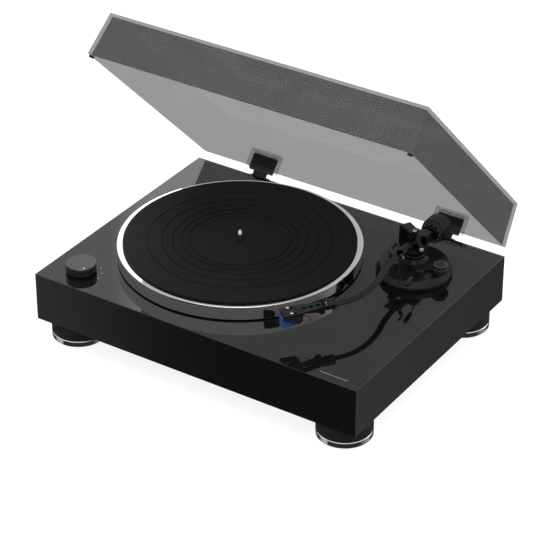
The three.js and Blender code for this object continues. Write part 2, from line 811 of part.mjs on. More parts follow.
// The cradle and its latch are drawn about the tube's axis, X across and Z up.
function buildArmRest(deck) {
  const rest = turnedGroup(deck, [PIVOT_X, REST_Y, ARM_Z]);
  const low = BASE_TOP + GAP - ARM_Z;
  const cradle = new THREE.Shape();
  cradle.moveTo(-4, low);
  cradle.lineTo(3.4, low);
  cradle.lineTo(4, -12);
  cradle.lineTo(4, -5.4);
  cradle.absarc(0, 0, TUBE_R + 1.2, -0.9, -Math.PI + 0.9, true);
  cradle.lineTo(-6.6, -4.6);
  cradle.lineTo(-9.6, -4.6);
  cradle.lineTo(-9.8, -6.6);
  cradle.lineTo(-4, -10);
  const post = upright(cradle, REST_DEPTH, 6).rotateZ(-Math.PI / 2);
  const toe = span([-5.5, -5, low], [3.4, 5, low + 2]);
  const cheekY = LATCH_W / 2 + 2 * GAP;
  const cheek = span([3, cheekY, LATCH_Z - 2.4], [LATCH_X + 2.2, cheekY + 1.8, LATCH_Z + 2.2]);
  const web = span([3, 1, LATCH_Z - 2.4], [4, cheekY + 1.8, LATCH_Z + 2.2]);
  const pin = rodY(LATCH_PIN_R, -LATCH_W / 2 - 0.6, cheekY + 1, 12).translate(LATCH_X, 0, LATCH_Z);
  add(rest, 'arm_rest', join(post, toe, cheek, web, pin), satin);

  const outer = LATCH_INNER + LATCH_T;
  const hook = new THREE.Shape();
  hook.absarc(LATCH_X, LATCH_Z, 2.4, Math.PI, Math.PI * 2);
  hook.absarc(0, 0, outer, -0.5, Math.PI * 0.56);
  hook.absarc(0, 0, LATCH_INNER, Math.PI * 0.56, -0.6, true);
  const bore = new THREE.Path();
  bore.absarc(LATCH_X, LATCH_Z, LATCH_PIN_R + GAP, 0, Math.PI * 2, true);
  hook.holes.push(bore);
  const latch = upright(hook, LATCH_W, 6)
    .rotateZ(-Math.PI / 2)
    .translate(-LATCH_X, 0, -LATCH_Z)
    .rotateY(rad(LATCH_OPEN))
    .translate(LATCH_X, 0, LATCH_Z);
  add(rest, 'rest_latch', closed(latch), satin);
}

function buildCueing(deck) {
  const lever = turnedGroup(deck, [CUE_X, CUE_Y, CUE_Z], CUE_TURN);
  const path = new THREE.LineCurve3(new THREE.Vector3(0, -1.6, 0.4), new THREE.Vector3(0, -31, 8.2));
  const stalk = sweep(path, 0.9, 1, 10);
  const paddle = box(4.8, 19, 2.6, 0, -39, 8.6);
  const boss = rodX(2.2, -CUE_BOSS_W / 2, CUE_BOSS_W / 2, 16);
  const bore = rodX(0.8 + GAP, -CUE_BOSS_W, CUE_BOSS_W, 10);
  add(lever, 'cue_lever', cut(join(stalk, paddle, boss), bore), black);

  const arc = new THREE.Shape();
  const from = rad(158);
  const to = rad(276);
  arc.absarc(0, 0, CUE_ARC_R + CUE_ARC_W / 2, from, to);
  arc.absarc(0, 0, CUE_ARC_R - CUE_ARC_W / 2, to, from, true);
  const bar = prism(arc, 2.6, 14).translate(0, 0, CUE_TOP - 2.6);
  const [postX, postY] = cuePost();
  const post = rod(CUE_POST_R, BASE_TOP - 4, CUE_TOP - 1, 14)
    .translate(postX - CUE_ARC_X, postY - CUE_ARC_Y, 0);
  add(deck, 'cue_bar', join(bar, post), satin, [CUE_ARC_X, CUE_ARC_Y, 0]);
}

// ---------- gimbal and arm ----------
function buildGimbal(deck) {
  const gimbal = turnedGroup(deck, [PIVOT_X, PIVOT_Y, ARM_Z], -OFFSET);
  const side = (scaleX, halfHigh, halfLow) => [
    [GIMBAL_X * scaleX, halfLow],
    [6, halfHigh],
    [-6, halfHigh],
    [-GIMBAL_X * scaleX, halfLow],
    [-GIMBAL_X * scaleX, -halfLow],
    [-6, -halfHigh],
    [6, -halfHigh],
    [GIMBAL_X * scaleX, -halfLow],
  ];
  const ring = outline(side(1, 8.8, 4.2));
  ring.holes.push(new THREE.Path(outline(side(0.84, 6.4, 3)).getPoints().reverse()));
  const frame = prism(ring, GIMBAL_T).translate(0, 0, -GIMBAL_T / 2).rotateX(Math.PI / 2);
  const bore = rodX(1.5, -GIMBAL_X - 2, GIMBAL_X + 2, 12);
  const topHole = rod(1.2, 7, 10, 12);
  const stud = rod(1.3, -LOWER_BEARING - 3, -7, 12);
  add(gimbal, 'gimbal_ring', cut(join(frame, stud), bore, topHole), satin);

  const screw = (reach) => turned([
    [0, GIMBAL_X * 0.62],
    [1, GIMBAL_X * 0.62],
    [1, GIMBAL_X + GAP],
    [2.9, GIMBAL_X + GAP],
    [2.9, GIMBAL_X + reach - 0.6],
    [2.2, GIMBAL_X + reach],
    [0, GIMBAL_X + reach],
  ], 20).rotateY(Math.PI / 2);
  const slot = box(1.2, 7, 0.9, GIMBAL_X + 3.4, 0, 0);
  add(gimbal, 'pivot_screw_right', cut(screw(3.4), slot), gold);
  add(gimbal, 'pivot_screw_left', screw(1.2).rotateZ(Math.PI), gold);
}

// The straight sleeve runs forward from the pivot, and the rear stub carries the weight.
function buildArm(deck) {
  const arm = turnedGroup(deck, [PIVOT_X, PIVOT_Y, ARM_Z]);
  const sleeve = rodY(SLEEVE_R, -SLEEVE_LEN, 12, 16);
  const cross = rodX(2.2, -GIMBAL_X * 0.66, GIMBAL_X * 0.66, 16).rotateZ(rad(-OFFSET));
  const rearLow = [REAR_X - 7, 11, REAR_Z - 6];
  const rearHigh = [REAR_X + 5.5, 27, REAR_Z + 7.5];
  const stub = rodY(STUB_R, 20, STUB_LEN, 16).translate(REAR_X, 0, REAR_Z);
  const socket = rodY(TUBE_R + 0.2, -SLEEVE_LEN - 1, -SLEEVE_LEN + 8, 16);
  const cone = (sign) => rodX(1.4, GIMBAL_X * 0.6, GIMBAL_X, 12)
    .rotateZ(rad(-OFFSET) + (sign < 0 ? Math.PI : 0));
  add(arm, 'pivot_block', cut(
    join(sleeve, cross, span(rearLow, rearHigh), stub),
    socket,
    cone(1),
    cone(-1),
  ), satin);

  const rise = (y) => ARM_Z + ((PIVOT_Y - y) / (PIVOT_Y - HEAD_Y)) * (HEAD_Z - ARM_Z);
  const bend = [
    [PIVOT_X, PIVOT_Y - SLEEVE_LEN + 6],
    [PIVOT_X, 36],
    [149.4, 14],
    [155, -8],
    [157.4, -30],
    [155, -54],
    [147.8, -72],
    [HEAD_X + Math.sin(rad(HEAD_TURN)) * 9, HEAD_Y + Math.cos(rad(HEAD_TURN)) * 9],
    [HEAD_X + Math.sin(rad(HEAD_TURN)) * 2.5, HEAD_Y + Math.cos(rad(HEAD_TURN)) * 2.5],
  ];
  const curve = new THREE.CatmullRomCurve3(bend.map(([x, y]) => new THREE.Vector3(x, y, rise(y))));
  add(deck, 'arm_tube', closed(sweep(curve, TUBE_R, 30, 12)), satin);
}

function buildWeight(deck) {
  const rear = turnedGroup(deck, [PIVOT_X + REAR_X, PIVOT_Y, ARM_Z + REAR_Z]);
  const tube = (inner, outer, low, high, sides = 28) => turned([
    [inner, low],
    [outer, low],
    [outer, high],
    [inner, high],
  ], sides).rotateX(-Math.PI / 2);
  const dialEnd = WEIGHT_START + DIAL_LEN;
  const weightEnd = dialEnd + GAP + WEIGHT_LEN;
  const inner = STUB_R + GAP;
  add(rear, 'weight_bush', tube(inner, BUSH_R, WEIGHT_START - 1, weightEnd - 4, 20), darkMetal);
  const hole = BUSH_R + GAP;
  const body = turned([
    [hole, dialEnd + GAP],
    [WEIGHT_R - 0.8, dialEnd + GAP],
    [WEIGHT_R, dialEnd + GAP + 0.8],
    [WEIGHT_R, weightEnd - 1],
    [WEIGHT_R - 1, weightEnd],
    [hole, weightEnd],
  ], 28).rotateX(-Math.PI / 2);
  add(rear, 'counterweight', closed(body), satin);
  add(rear, 'weight_dial', tube(hole, DIAL_R, WEIGHT_START, dialEnd), black);
}

// ---------- headshell and cartridge ----------
// In this group -Y is the way the stylus faces and +X is the finger-lift side.
function shellOutline() {
  const w1 = SHELL_REAR_W / 2;
  const w2 = SHELL_FRONT_W / 2;
  return outline([
    [-w1, -2],
    [-w1, -8],
    [-w2, -30],
    [-w2, -SHELL_LEN + 1.5],
    [-w2 + 1.5, -SHELL_LEN],
    [w2 - 1.5, -SHELL_LEN],
    [w2, -SHELL_LEN + 1.5],
    [w2, -30],
    [w1, -8],
    [w1, -2],
  ]);
}

const SCREW_X = 6.35;
const SCREW_Y = -43.5;

function buildHead(deck) {
  const head = turnedGroup(deck, [HEAD_X, HEAD_Y, HEAD_Z], -HEAD_TURN);
  const under = SHELL_TOP - SHELL_T;

  const collar = turned([
    [TUBE_R + GAP + 0.3, 0],
    [COLLAR_R, 0],
    [COLLAR_R, 4],
    [COLLAR_R - 0.5, 4.4],
    [COLLAR_R - 0.5, 5.6],
    [COLLAR_R, 6],
    [COLLAR_R, COLLAR_LEN],
    [TUBE_R + GAP + 0.3, COLLAR_LEN],
  ], 20).rotateX(-Math.PI / 2).translate(0, 1, 0);
  add(head, 'lock_collar', closed(collar), satin);

  const flat = prism(shellOutline(), SHELL_T).translate(0, 0, under);
  const ribWall = (side) => {
    const rib = outline([
      [-2, under + 0.5],
      [-2, -7],
      [-7, -7.6],
      [-12, -3.4],
      [-26, -1.6],
      [-26, under + 0.5],
    ]);
    return upright(rib, 1.6, 4).translate(side * (SHELL_REAR_W / 2 - 0.9), 0, 0);
  };
  const backWall = span([-SHELL_REAR_W / 2, -3.6, -5.4], [SHELL_REAR_W / 2, -2, under + 0.5]);
  const plug = rodY(COLLAR_R - 1, -2.4, 0.6, 20);
  const spigot = rodY(TUBE_R - 0.2, -1, 2, 16);
  const slots = [
    slotShape(9, 2.8, -SCREW_X, SCREW_Y + 2),
    slotShape(9, 2.8, SCREW_X, SCREW_Y + 2),
    slotShape(6.4, 4.4, 0, -25.5),
    slotShape(6.4, 4.4, 0, -17),
    slotShape(6.4, 4.4, 0, -8.5),
  ].map((shape) => prism(shape, 8, 4).translate(0, 0, under - 3));
  const small = rod(1.2, under - 2, SHELL_TOP + 1, 12).translate(0, -34, 0);
  add(head, 'headshell', cut(
    join(flat, ribWall(-1), ribWall(1), backWall, plug, spigot),
    ...slots,
    small,
  ), satin);

  const liftPath = new THREE.CatmullRomCurve3([
    new THREE.Vector3(SHELL_FRONT_W / 2 + 0.6, -31.5, 1.4),
    new THREE.Vector3(SHELL_FRONT_W / 2 + 3.6, -30.4, 2.6),
    new THREE.Vector3(SHELL_FRONT_W / 2 + 8, -27.6, 2.2),
    new THREE.Vector3(SHELL_FRONT_W / 2 + 12.4, -25.6, -1.4),
  ]);
  add(head, 'finger_lift', closed(sweep(liftPath, 0.9, 8, 6)), black);

  buildCartridge(head, under);
}

function buildCartridge(head, under) {
  const top = under - GAP;
  const side = outline([
    [-30, top],
    [-52, top],
    [-52, -4],
    [-44, -9],
    [-38, -12.2],
    [-33.6, -12.2],
    [-30, -9],
  ]);
  const body = upright(side, 15.6, 4);
  const hole = (x) => rod(1.3, -14, top + 1, 12).translate(x, SCREW_Y, 0);
  const nose = span([-5, -53, -5.4], [5, -46, -13]);
  add(head, 'cartridge', cut(body, hole(-SCREW_X), hole(SCREW_X), nose), black);

  const guard = outline([
    [-54.4, -1],
    [-52.6, -1],
    [-52.6, -5.8],
    [-45, -10.2],
    [-38.6, -13],
    [-37.2, -STYLUS_DROP + 1.6],
    [-52.6, -STYLUS_DROP],
    [-54.4, -STYLUS_DROP + 1],
  ]);
  add(head, 'stylus', upright(guard, 9, 4), blue);

  const screw = turned([
    [0, -6],
    [1, -6],
    [1, SHELL_TOP + GAP],
    [2.1, SHELL_TOP + GAP],
    [2.1, SHELL_TOP + 1.5],
    [1.6, SHELL_TOP + 2],
    [0, SHELL_TOP + 2],
  ], 16);
  add(head, 'cartridge_screw_left', screw.clone(), gold, [-SCREW_X, SCREW_Y, 0]);
  add(head, 'cartridge_screw_right', screw.clone(), gold, [SCREW_X, SCREW_Y, 0]);

  // The four leads leave the cartridge in two rows and run up into the rear of the shell.
  const leads = [
    ['white', -4.2, -9.2, 0xe6e6e0],
    ['blue', -1.4, -5, 0x3a78c8],
    ['green', 1.4, -5, 0x63b43c],
    ['red', 4.2, -9.2, 0xc8303a],
  ];
  for (const [name, x, z, color] of leads) {
    const path = new THREE.CatmullRomCurve3([
      new THREE.Vector3(x, -29.6, z),
      new THREE.Vector3(x, -26, z - 0.4),
      new THREE.Vector3(x * 0.86, -15, -5),
      new THREE.Vector3(x * 0.7, -10, -3.2),
      new THREE.Vector3(x * 0.7, -4.2, -2.6),
    ]);
    add(head, `lead_${name}`, closed(sweep(path, 0.6, 8, 6)), finish(color, 0.5));
  }
}

// ---------- assembly ----------
function lidRearReach() {
  const y = LID_REAR - LID_TAPER_REAR - HINGE_Y;
  const z = LID_SEAT + HINGE_DROP + LID_H;
  return HINGE_Y + y * Math.cos(rad(LID_OPEN)) + z * Math.sin(rad(LID_OPEN));
}

function buildRecordPlayer() {
  const player = new THREE.Group();
  const middle = (lidRearReach() - PLINTH_D / 2) / 2;
  const deck = turnedGroup(player, [0, -middle, FLOOR]);
  buildPlinth(deck);
  buildFeet(deck);
  buildTerminals(deck);
  buildPlatter(deck);
  buildDrive(deck);
  buildKnob(deck);

  const swing = turnedGroup(deck, [0, HINGE_Y, -HINGE_DROP]);
  swing.rotation.x = -rad(LID_OPEN);
  buildLid(swing);
  for (const [name, x] of [['left', -HINGE_X], ['right', HINGE_X]]) {
    buildLidHinge(swing, name, x);
    buildHingeSocket(deck, name, x);
  }

  buildArmBase(deck);
  buildTurret(deck);
  buildArmRest(deck);
  buildCueing(deck);
  buildGimbal(deck);
  buildArm(deck);
  buildWeight(deck);
  buildHead(deck);
  return player;
}

export default buildRecordPlayer();
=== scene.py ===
import json
import math

import bmesh
import bpy
from mathutils import Matrix, Quaternion, Vector


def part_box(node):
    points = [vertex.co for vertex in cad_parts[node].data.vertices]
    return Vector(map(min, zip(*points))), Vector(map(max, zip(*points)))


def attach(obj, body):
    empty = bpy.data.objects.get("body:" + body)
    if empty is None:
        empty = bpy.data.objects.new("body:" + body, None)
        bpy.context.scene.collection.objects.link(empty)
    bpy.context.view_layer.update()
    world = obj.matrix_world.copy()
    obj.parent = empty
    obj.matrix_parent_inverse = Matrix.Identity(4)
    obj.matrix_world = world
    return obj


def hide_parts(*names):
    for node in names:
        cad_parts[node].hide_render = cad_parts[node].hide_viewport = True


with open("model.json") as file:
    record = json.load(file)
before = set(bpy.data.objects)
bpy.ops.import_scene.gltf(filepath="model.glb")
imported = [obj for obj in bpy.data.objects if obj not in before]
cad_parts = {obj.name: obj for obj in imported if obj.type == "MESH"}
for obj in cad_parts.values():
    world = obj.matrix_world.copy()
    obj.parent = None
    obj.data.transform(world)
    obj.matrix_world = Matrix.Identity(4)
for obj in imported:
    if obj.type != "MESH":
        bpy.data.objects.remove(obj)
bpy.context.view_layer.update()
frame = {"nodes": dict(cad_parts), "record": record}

# Millimetre places below are measured from the middle of the plinth's top face.
MM = 0.001
plinth_low, plinth_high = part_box("plinth")
DECK = Vector((0.0, (plinth_low.y + plinth_high.y) / 2, plinth_high.z))
PLATTER_AT = (-45.0, 0.0, 0.0)
KNOB_AT = (-182.0, -137.0, 0.0)
ARM_BASE_AT = (151.5, 80.0, 0.0)
SKATE_AT = (187.5, 79.4, 15.3)
WEIGHT_AT = (150.0, 88.0, 33.5)
HEAD_AT = (133.4, -92.2, 38.7)
HEAD_TURN = 34.0
FEET = ("front_left", "front_right", "rear_left", "rear_right")

# Edges flatter than the first angle are dropped, those sharper than the second are
# rounded, and shading runs smoothly over anything flatter than the third (degrees).
FLAT_ANGLE = 1.0
CORNER_ANGLE = 28.0
SMOOTH_ANGLE = 32.0


def at_deck(place):
    return Matrix.Translation(DECK + Vector(place) * MM) @ Matrix.Scale(MM, 4)


# ---------- shader and geometry trees ----------
class Reading:
    """A number socket that takes part in Python arithmetic."""

    def __init__(self, tree, socket):
        self.tree = tree
        self.socket = socket

    def join(self, operation, first, second=0.0):
        inputs = {0: first, 1: second}
        return self.tree.number("ShaderNodeMath", {"operation": operation}, inputs)

    def __add__(self, other):
        return self.join("ADD", self, other)

    def __radd__(self, other):
        return self.join("ADD", other, self)

    def __sub__(self, other):
        return self.join("SUBTRACT", self, other)

    def __rsub__(self, other):
        return self.join("SUBTRACT", other, self)

    def __mul__(self, other):
        return self.join("MULTIPLY", self, other)

    def __rmul__(self, other):
        return self.join("MULTIPLY", other, self)

    def __truediv__(self, other):
        return self.join("DIVIDE", self, other)

    def __gt__(self, other):
        return self.join("GREATER_THAN", self, other)

    def sine(self):
        return self.join("SINE", self)

    def cosine(self):
        return self.join("COSINE", self)


class Tree:
    """Adds nodes to a node tree: settings first, then the sockets' values or links."""

    def __init__(self, tree):
        self.tree = tree

    def node(self, kind, settings=(), inputs=()):
        made = self.tree.nodes.new(kind)
        for key, value in dict(settings).items():
            if key == "stops":
                self.set_stops(made.color_ramp, value)
            else:
                setattr(made, key, value)
        for key, value in dict(inputs).items():
            self.feed(made.inputs[key], value)
        return made

    @staticmethod
    def set_stops(ramp, stops):
        while len(ramp.elements) < len(stops):
            ramp.elements.new(0.5)
        for element, (position, level) in zip(ramp.elements, stops):
            element.position = position
            element.color = (level, level, level, 1.0)

    def feed(self, socket, value):
        if isinstance(value, Reading):
            value = value.socket
        if isinstance(value, bpy.types.NodeSocket):
            self.tree.links.new(value, socket)
        else:
            socket.default_value = value

    def number(self, kind, settings=(), inputs=(), output=0):
        return Reading(self, self.node(kind, settings, inputs).outputs[output])


class Finish(Tree):
    """A material with one Principled shader, fed from Object coordinates."""

    def __init__(self, name, color, roughness, **constants):
        self.material = bpy.data.materials.new(name)
        self.material.use_nodes = True
        super().__init__(self.material.node_tree)
        self.shader = self.tree.nodes["Principled BSDF"]
        self.place = self.node("ShaderNodeTexCoord").outputs["Object"]
        self.color = (*color, 1.0)
        self.roughness = roughness
        self.set("Base Color", self.color)
        self.set("Roughness", roughness)
        for key, value in constants.items():
            self.set(key.replace("_", " ").title().replace("Ior", "IOR"), value)

    def set(self, socket, value):
        self.feed(self.shader.inputs[socket], value)

    def grain(self, size, detail=3.0, vector=None):
        """Noise whose blobs are about size millimetres across."""
        inputs = {
            "Vector": self.place if vector is None else vector,
            "Scale": 1.0 / (size * MM),
            "Detail": detail,
        }
        return self.number("ShaderNodeTexNoise", inputs=inputs)

    def about(self, place):
        """Object coordinates measured from a place on the deck, in metres."""
        middle = DECK + Vector(place) * MM
        inputs = {"Vector": self.place, "Location": tuple(-middle)}
        return self.node("ShaderNodeMapping", inputs=inputs).outputs[0]

    def distance(self, vector, keep):
        """Distance from the origin of a vector, counting only the kept axes."""
        flat = self.node(
            "ShaderNodeVectorMath", {"operation": "MULTIPLY"}, {0: vector, 1: keep}
        ).outputs[0]
        return self.number(
            "ShaderNodeVectorMath", {"operation": "LENGTH"}, {0: flat}, output=1
        )

    def tint(self, amount, factor):
        """The base colour drawn from a little darker to a little lighter."""
        dark = tuple(c * (1 - amount) for c in self.color[:3]) + (1.0,)
        light = tuple(min(c * (1 + amount), 1.0) for c in self.color[:3]) + (1.0,)
        mixed = self.node(
            "ShaderNodeMix",
            {"data_type": "RGBA"},
            {0: factor, 6: dark, 7: light},
        )
        self.set("Base Color", mixed.outputs[2])

    def bump(self, height, depth, strength=1.0):
        """Relief of that depth in millimetres."""
        inputs = {"Height": height, "Distance": depth * MM, "Strength": strength}
        self.set("Normal", self.node("ShaderNodeBump", inputs=inputs).outputs[0])


def moulded(name, color, roughness, grain=0.35, depth=0.02, spread=0.12, **constants):
    """Moulded plastic or rubber: fine grain, uneven sheen and faint colour drift."""
    finish = Finish(name, color, roughness, **constants)
    fine = finish.grain(grain)
    broad = finish.grain(18.0, 2.0)
    finish.set("Roughness", roughness + (fine - 0.5) * spread + (broad - 0.5) * spread)
    finish.tint(0.25, broad * 0.6 + fine * 0.4)
    finish.bump(fine, depth)
    return finish.material


def machined(name, color, roughness, metallic=1.0, pitch=0.5, depth=0.003, **constants):
    """Turned or ground metal with fine drawn lines and a few handling marks."""
    finish = Finish(name, color, roughness, metallic=metallic, **constants)
    stretched = finish.node(
        "ShaderNodeMapping", inputs={"Vector": finish.place, "Scale": (1.0, 1.0, 9.0)}
    ).outputs[0]
    lines = finish.grain(pitch, 2.0, stretched)
    smudge = finish.grain(9.0, 3.0)
    finish.set("Roughness", roughness + (smudge - 0.5) * 0.1 + (lines - 0.5) * 0.06)
    finish.tint(0.12, smudge * 0.5 + lines * 0.5)
    finish.bump(lines, depth)
    return finish.material


def spun(name, color, roughness, metallic, place, pitch, depth, **constants):
    """A face cut on the lathe: rings about an upright axis through a place."""
    finish = Finish(name, color, roughness, metallic=metallic, **constants)
    away = finish.distance(finish.about(place), (1.0, 1.0, 0.0))
    rings = finish.number(
        "ShaderNodeTexNoise",
        {"noise_dimensions": "1D"},
        {"W": away, "Scale": 1.0 / (pitch * MM), "Detail": 3.0},
    )
    smudge = finish.grain(22.0, 3.0)
    finish.set("Roughness", roughness + (rings - 0.5) * 0.12 + (smudge - 0.5) * 0.06)
    finish.tint(0.15, rings * 0.7 + smudge * 0.3)
    finish.bump(rings, depth)
    return finish.material


def lacquered(name, color, roughness):
    """Deep gloss lacquer with the faintest waviness and a little dust haze."""
    finish = Finish(name, color, roughness, ior=1.5)
    haze = finish.grain(60.0, 4.0)
    dust = finish.grain(0.6, 2.0) > 0.72
    finish.set("Roughness", roughness + haze * 0.02 + dust * 0.05)
    finish.tint(0.3, haze)
    finish.bump(finish.grain(28.0, 1.0), 0.004)
    return finish.material


def smoked(name, color, cover, roughness, shine=0.5):
    """Tinted clear acrylic: each surface covers part of what is behind it."""
    finish = Finish(name, color, roughness, ior=1.49, specular_ior_level=shine)
    wipe = finish.grain(45.0, 4.0)
    finish.set("Roughness", roughness + wipe * 0.03)
    finish.set("Alpha", cover + (wipe - 0.5) * 0.03)
    finish.tint(0.2, wipe)
    return finish.material


lacquer = lacquered("black_lacquer", (0.0035, 0.0035, 0.0037), 0.03)
satin_black = moulded(
    "satin_black_plastic", (0.009, 0.009, 0.0095), 0.36, specular_ior_level=0.3
)
gloss_black = moulded("gloss_black_plastic", (0.010, 0.010, 0.011), 0.16, depth=0.006)
black_rubber = moulded(
    "black_rubber", (0.007, 0.007, 0.007), 0.6, 0.5, 0.03, specular_ior_level=0.2
)
mat_rubber = moulded(
    "mat_rubber", (0.0055, 0.0055, 0.0055), 0.6, 0.4, 0.03, specular_ior_level=0.1
)
board_green = moulded("board_green", (0.02, 0.11, 0.045), 0.4, 1.2, 0.05)
anodised = machined(
    "black_anodised", (0.008, 0.008, 0.0085), 0.3, 0.0, specular_ior_level=0.3
)
anodised_gloss = machined(
    "black_anodised_gloss", (0.004, 0.004, 0.0045), 0.14, 0.0, specular_ior_level=0.25
)
dark_steel = machined("dark_steel", (0.10, 0.10, 0.105), 0.3)
bright_steel = machined("bright_steel", (0.62, 0.62, 0.64), 0.16)
chrome = machined("bright_chrome", (0.72, 0.72, 0.74), 0.07, depth=0.001)
gold_plate = machined("gold_plate", (0.60, 0.52, 0.42), 0.24)
polished_rim = spun(
    "polished_aluminium", (0.84, 0.84, 0.85), 0.05, 1.0, PLATTER_AT, 1.6, 0.0006
)
knob_face = spun("spun_knob_face", (0.055, 0.055, 0.06), 0.24, 0.8, KNOB_AT, 0.35, 0.004)
smoked_acrylic = smoked("smoked_acrylic", (0.006, 0.006, 0.0065), 0.51, 0.02, 0.42)
acrylic_edge = smoked("acrylic_edge", (0.003, 0.003, 0.003), 0.93, 0.3, 0.1)
clear_moulding = smoked("clear_moulding", (0.05, 0.05, 0.052), 0.22, 0.08, 0.3)
white_print = moulded("white_print", (0.55, 0.55, 0.56), 0.5, 0.2, 0.01)
grey_print = moulded("grey_print", (0.20, 0.20, 0.205), 0.45, 0.2, 0.01)
stylus_blue = moulded("stylus_blue", (0.012, 0.048, 0.17), 0.2, 0.5, 0.01)
LEADS = {
    "white": (0.70, 0.70, 0.66),
    "blue": (0.02, 0.12, 0.42),
    "green": (0.12, 0.42, 0.05),
    "red": (0.50, 0.02, 0.03),
}


# ---------- mesh helpers ----------
def piece(name, mesh, body, slot, *stands_for):
    """Puts a finished mesh in the scene, riding on its body."""
    made = bpy.data.objects.new(name, mesh)
    bpy.context.scene.collection.objects.link(made)
    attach(made, body)
    if stands_for:
        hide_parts(*stands_for)
    return made


def seen(holder):
    """The finished mesh of an object with its modifiers; the object goes."""
    bpy.context.view_layer.update()
    made = holder.evaluated_get(bpy.context.evaluated_depsgraph_get())
    mesh = bpy.data.meshes.new_from_object(made)
    mesh.name = holder.name
    bpy.data.objects.remove(holder)
    return mesh


def smooth(mesh, angle=35.0):
    """Shades curves smoothly while broad flat faces stay flat."""
    for polygon in mesh.polygons:
        polygon.use_smooth = True
    mesh.set_sharp_from_angle(angle=math.radians(angle))
    holder = bpy.data.objects.new(mesh.name, mesh)
    bpy.context.scene.collection.objects.link(holder)
    weighting = holder.modifiers.new("weighting", "WEIGHTED_NORMAL")
    weighting.keep_sharp = True
    return seen(holder)


def to_mesh(shape, name, material):
    mesh = bpy.data.meshes.new(name)
    bmesh.ops.recalc_face_normals(shape, faces=shape.faces)
    shape.to_mesh(mesh)
    shape.free()
    mesh.materials.append(material)
    return smooth(mesh)


def turned(name, corners, material, place, sides=96, axis="Z"):
    """Revolves a closed list of (radius, height) corners, in millimetres."""
    shape = bmesh.new()
    rings = []
    for radius, height in corners:
        if radius < 1e-6:
            rings.append([shape.verts.new((0.0, 0.0, height))] * sides)
            continue
        ring = []
        for i in range(sides):
            turn = 2 * math.pi * i / sides
            ring.append((radius * math.cos(turn), radius * math.sin(turn), height))
        rings.append([shape.verts.new(v) for v in ring])
    for lower, upper in zip(rings, rings[1:] + rings[:1]):
        for i in range(sides):
            j = (i + 1) % sides
            corner = dict.fromkeys([lower[i], lower[j], upper[j], upper[i]])
            if len(corner) > 2:
                shape.faces.new(corner)
    turn = {"Z": Matrix(), "Y": Matrix.Rotation(-math.pi / 2, 4, "X")}[axis]
    shape.transform(at_deck(place) @ turn)
    return to_mesh(shape, name, material)


def rounded(corners, radius, steps=3):
    """Rounds every corner of a closed (radius, height) outline that is off the axis."""
    made = []
    count = len(corners)
    for i, here in enumerate(corners):
        before, after = Vector(corners[i - 1]), Vector(corners[(i + 1) % count])
        here = Vector(here)
        reach = min(radius, (before - here).length * 0.45, (after - here).length * 0.45)
        if here.x < 1e-6 or reach < 1e-3:
            made.append(tuple(here))
            continue
        start = here + (before - here).normalized() * reach
        end = here + (after - here).normalized() * reach
        for k in range(steps + 1):
            t = k / steps
            made.append(tuple((1 - t) ** 2 * start + 2 * t * (1 - t) * here + t * t * end))
    return made


def eased(node, material, width=0.2, edge=None, name=None):
    """A copy of a CAD node with its sharp edges slightly rounded, standing for it."""
    shape = bmesh.new()
    shape.from_mesh(frame["nodes"][node].data)
    bmesh.ops.remove_doubles(shape, verts=shape.verts, dist=1e-6)
    bmesh.ops.dissolve_limit(
        shape,
        angle_limit=math.radians(FLAT_ANGLE),
        verts=shape.verts,
        edges=shape.edges,
    )
    if width:
        sharp = [
            e
            for e in shape.edges
            if len(e.link_faces) == 2 and e.calc_face_angle(0.0) > math.radians(CORNER_ANGLE)
        ]
        bmesh.ops.bevel(
            shape,
            geom=sharp,
            offset=width * MM,
            offset_type="OFFSET",
            segments=2,
            profile=0.5,
            affect="EDGES",
            clamp_overlap=True,
            material=1 if edge else -1,
        )
    bmesh.ops.triangulate(shape, faces=[f for f in shape.faces if len(f.verts) > 4])
    mesh = bpy.data.meshes.new(node + "_eased")
    shape.to_mesh(mesh)
    shape.free()
    mesh.materials.clear()
    for each in filter(None, (material, edge)):
        mesh.materials.append(each)
    mesh = smooth(mesh, SMOOTH_ANGLE)
    return piece(name or node + "_eased", mesh, BODY_OF[node], SLOT_OF[node], node)


BODY_OF = {
    node: body
    for body, nodes in frame["record"]["behaviour"]["bodies"].items()
    for node in nodes
}
SLOT_OF = {
    row["node"]: row["material_slot"] for row in frame["record"]["subparts"]
}


def block(low, high, bevel=0.0, segments=3):
    shape = bmesh.new()
    bmesh.ops.create_cube(shape, size=1.0)
    low, high = Vector(low), Vector(high)
    size = Matrix.Diagonal((*(high - low), 1.0))
    shape.transform(Matrix.Translation((low + high) / 2) @ size)
    if bevel:
        bmesh.ops.bevel(
            shape,
            geom=shape.edges[:],
            offset=bevel,
            segments=segments,
            profile=0.5,
            affect="EDGES",
        )
    return shape


def carved(name, base, tools, material):
    """Takes the tool meshes away from a base mesh."""
    objects = [bpy.data.objects.new("carving", m) for m in (base, *tools)]
    for each in objects:
        bpy.context.scene.collection.objects.link(each)
    for tool in objects[1:]:
        cut = objects[0].modifiers.new("cut", "BOOLEAN")
        cut.operation = "DIFFERENCE"
        cut.solver = "EXACT"
        cut.object = tool
    mesh = seen(objects[0])
    mesh.name = name
    for tool in objects[1:]:
        bpy.data.objects.remove(tool)
    mesh.materials.clear()
    mesh.materials.append(material)
    return smooth(mesh, 30)


def as_mesh(shape, material):
    shape.transform(at_deck((0, 0, 0)))
    return to_mesh(shape, "block", material)


